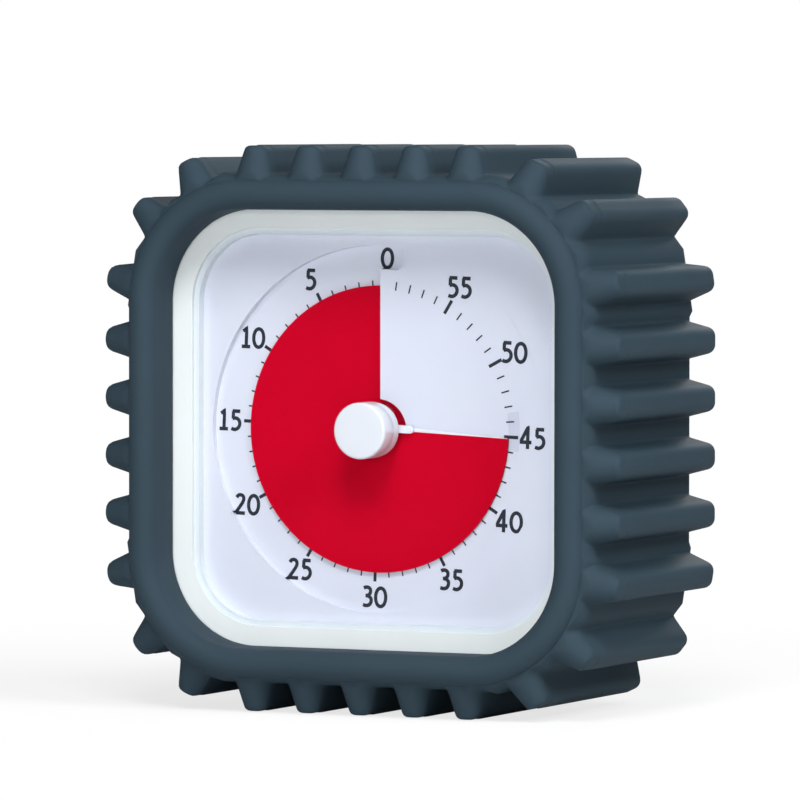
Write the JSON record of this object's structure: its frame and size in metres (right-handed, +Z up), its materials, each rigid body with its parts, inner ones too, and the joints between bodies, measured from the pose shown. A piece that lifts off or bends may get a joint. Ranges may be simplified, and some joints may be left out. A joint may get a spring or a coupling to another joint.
{
  "type": "visual countdown timer",
  "caption": "Square white countdown timer in a thick ribbed silicone sleeve: a knob winds a red disc up and a quartz movement turns it back to zero.",
  "frame": {"origin": "middle of the sleeve's footprint, on the surface that the bottom ribs stand on", "axes": "+Z up, -Y towards the person who reads the dial, +X to that person's right"},
  "size_m": [0.1046, 0.0502, 0.1046],
  "materials": {
    "sleeve": "matte moulded silicone",
    "case_white": "satin moulded plastic",
    "lens_clear": "clear moulded plastic",
    "dial_white": "matte moulded plastic with printed marks",
    "film_red": "satin dyed film",
    "tab_clear": "clear film",
    "knob_white": "gloss moulded plastic",
    "hub_white": "gloss moulded plastic",
    "steel": "turned and stamped steel",
    "spring_steel": "nickel-plated spring wire and strip",
    "gear_plastic": "moulded acetal",
    "movement_black": "moulded plastic",
    "magnet": "sintered magnet",
    "soft_iron": "stamped soft iron",
    "copper": "enamelled copper wire",
    "board": "solder-masked circuit board",
    "crystal_can": "drawn metal can",
    "cell": "plain metal jacket",
    "brass": "stamped brass with ceramic disc",
    "switch_black": "moulded plastic",
    "wire": "insulated wire"
  },
  "bodies": {
    "case": {"front_frame": "case_white", "rear_shell": "case_white", "lens": "lens_clear", "dial_plate": "dial_white", "movement_front_plate": "movement_black", "movement_rear_cover": "movement_black", "movement_circuit_board": "board", "quartz_crystal": "crystal_can", "coil_bobbin": "movement_black", "coil_winding": "copper", "stator": "soft_iron", "battery_cell": "cell", "battery_plus_contact": "spring_steel", "battery_minus_spring": "spring_steel", "battery_leads": "wire", "sounder": "brass", "sounder_leads": "wire", "switch_body": "switch_black", "case_screws": "steel", "dial_screws": "steel", "movement_screws": "steel", "cover_screws": "steel"},
    "sleeve": {"silicone_sleeve": "sleeve"},
    "setting_arbor": {"knob": "knob_white", "arbor": "steel", "arbor_clip": "spring_steel", "clutch_spring": "spring_steel"},
    "time_disc": {"red_disc": "film_red", "disc_tab": "tab_clear", "disc_hub": "hub_white"},
    "rotor": {"rotor_magnet": "magnet", "rotor_pinion": "gear_plastic"},
    "intermediate": {"intermediate_wheel": "gear_plastic"},
    "second": {"second_wheel": "gear_plastic"},
    "third": {"third_wheel": "gear_plastic"},
    "centre": {"centre_wheel": "gear_plastic"},
    "door": {"battery_door": "case_white"},
    "switch": {"switch_slider": "switch_black"}
  },
  "joints": [
    {"name": "sleeve_pull", "type": "slide", "parent": "case", "child": "sleeve", "axis": [0, -1, 0], "range_m": [0, 0.06]},
    {"name": "knob_turn", "type": "hinge", "parent": "case", "child": "setting_arbor", "pos_m": [0, -0.01205, 0.0523], "axis": [0, -1, 0], "range_deg": [-267.3, 92.7]},
    {"name": "disc_rise", "type": "slide", "parent": "setting_arbor", "child": "time_disc", "axis": [0, -1, 0], "range_m": [-0.00135, 0.00048]},
    {"name": "rotor_spin", "type": "hinge", "parent": "case", "child": "rotor", "pos_m": [0.01171, -0.01205, 0.0608], "axis": [0, -1, 0], "continuous": true},
    {"name": "intermediate_spin", "type": "hinge", "parent": "case", "child": "intermediate", "pos_m": [0.00184, -0.01205, 0.06439], "axis": [0, -1, 0], "continuous": true},
    {"name": "second_spin", "type": "hinge", "parent": "case", "child": "second", "pos_m": [-0.0085, -0.01205, 0.06256], "axis": [0, -1, 0], "continuous": true},
    {"name": "third_spin", "type": "hinge", "parent": "case", "child": "third", "pos_m": [-0.01125, -0.01205, 0.0523], "axis": [0, -1, 0], "continuous": true},
    {"name": "centre_spin", "type": "hinge", "parent": "case", "child": "centre", "pos_m": [0, -0.01205, 0.0523], "axis": [0, -1, 0], "continuous": true},
    {"name": "door_pull", "type": "slide", "parent": "case", "child": "door", "axis": [0, 1, 0], "range_m": [0, 0.02]},
    {"name": "sound_switch", "type": "slide", "parent": "case", "child": "switch", "axis": [-1, 0, 0], "range_m": [0, 0.003]}
  ],
  "couplings": [
    {"joint": "disc_rise", "follows": "knob_turn", "m_per_rad": 0.00028648},
    {"joint": "intermediate_spin", "follows": "rotor_spin", "ratio": -0.16667},
    {"joint": "second_spin", "follows": "rotor_spin", "ratio": 0.033333},
    {"joint": "third_spin", "follows": "rotor_spin", "ratio": -0.0044444},
    {"joint": "centre_spin", "follows": "rotor_spin", "ratio": 0.00055556}
  ]
}
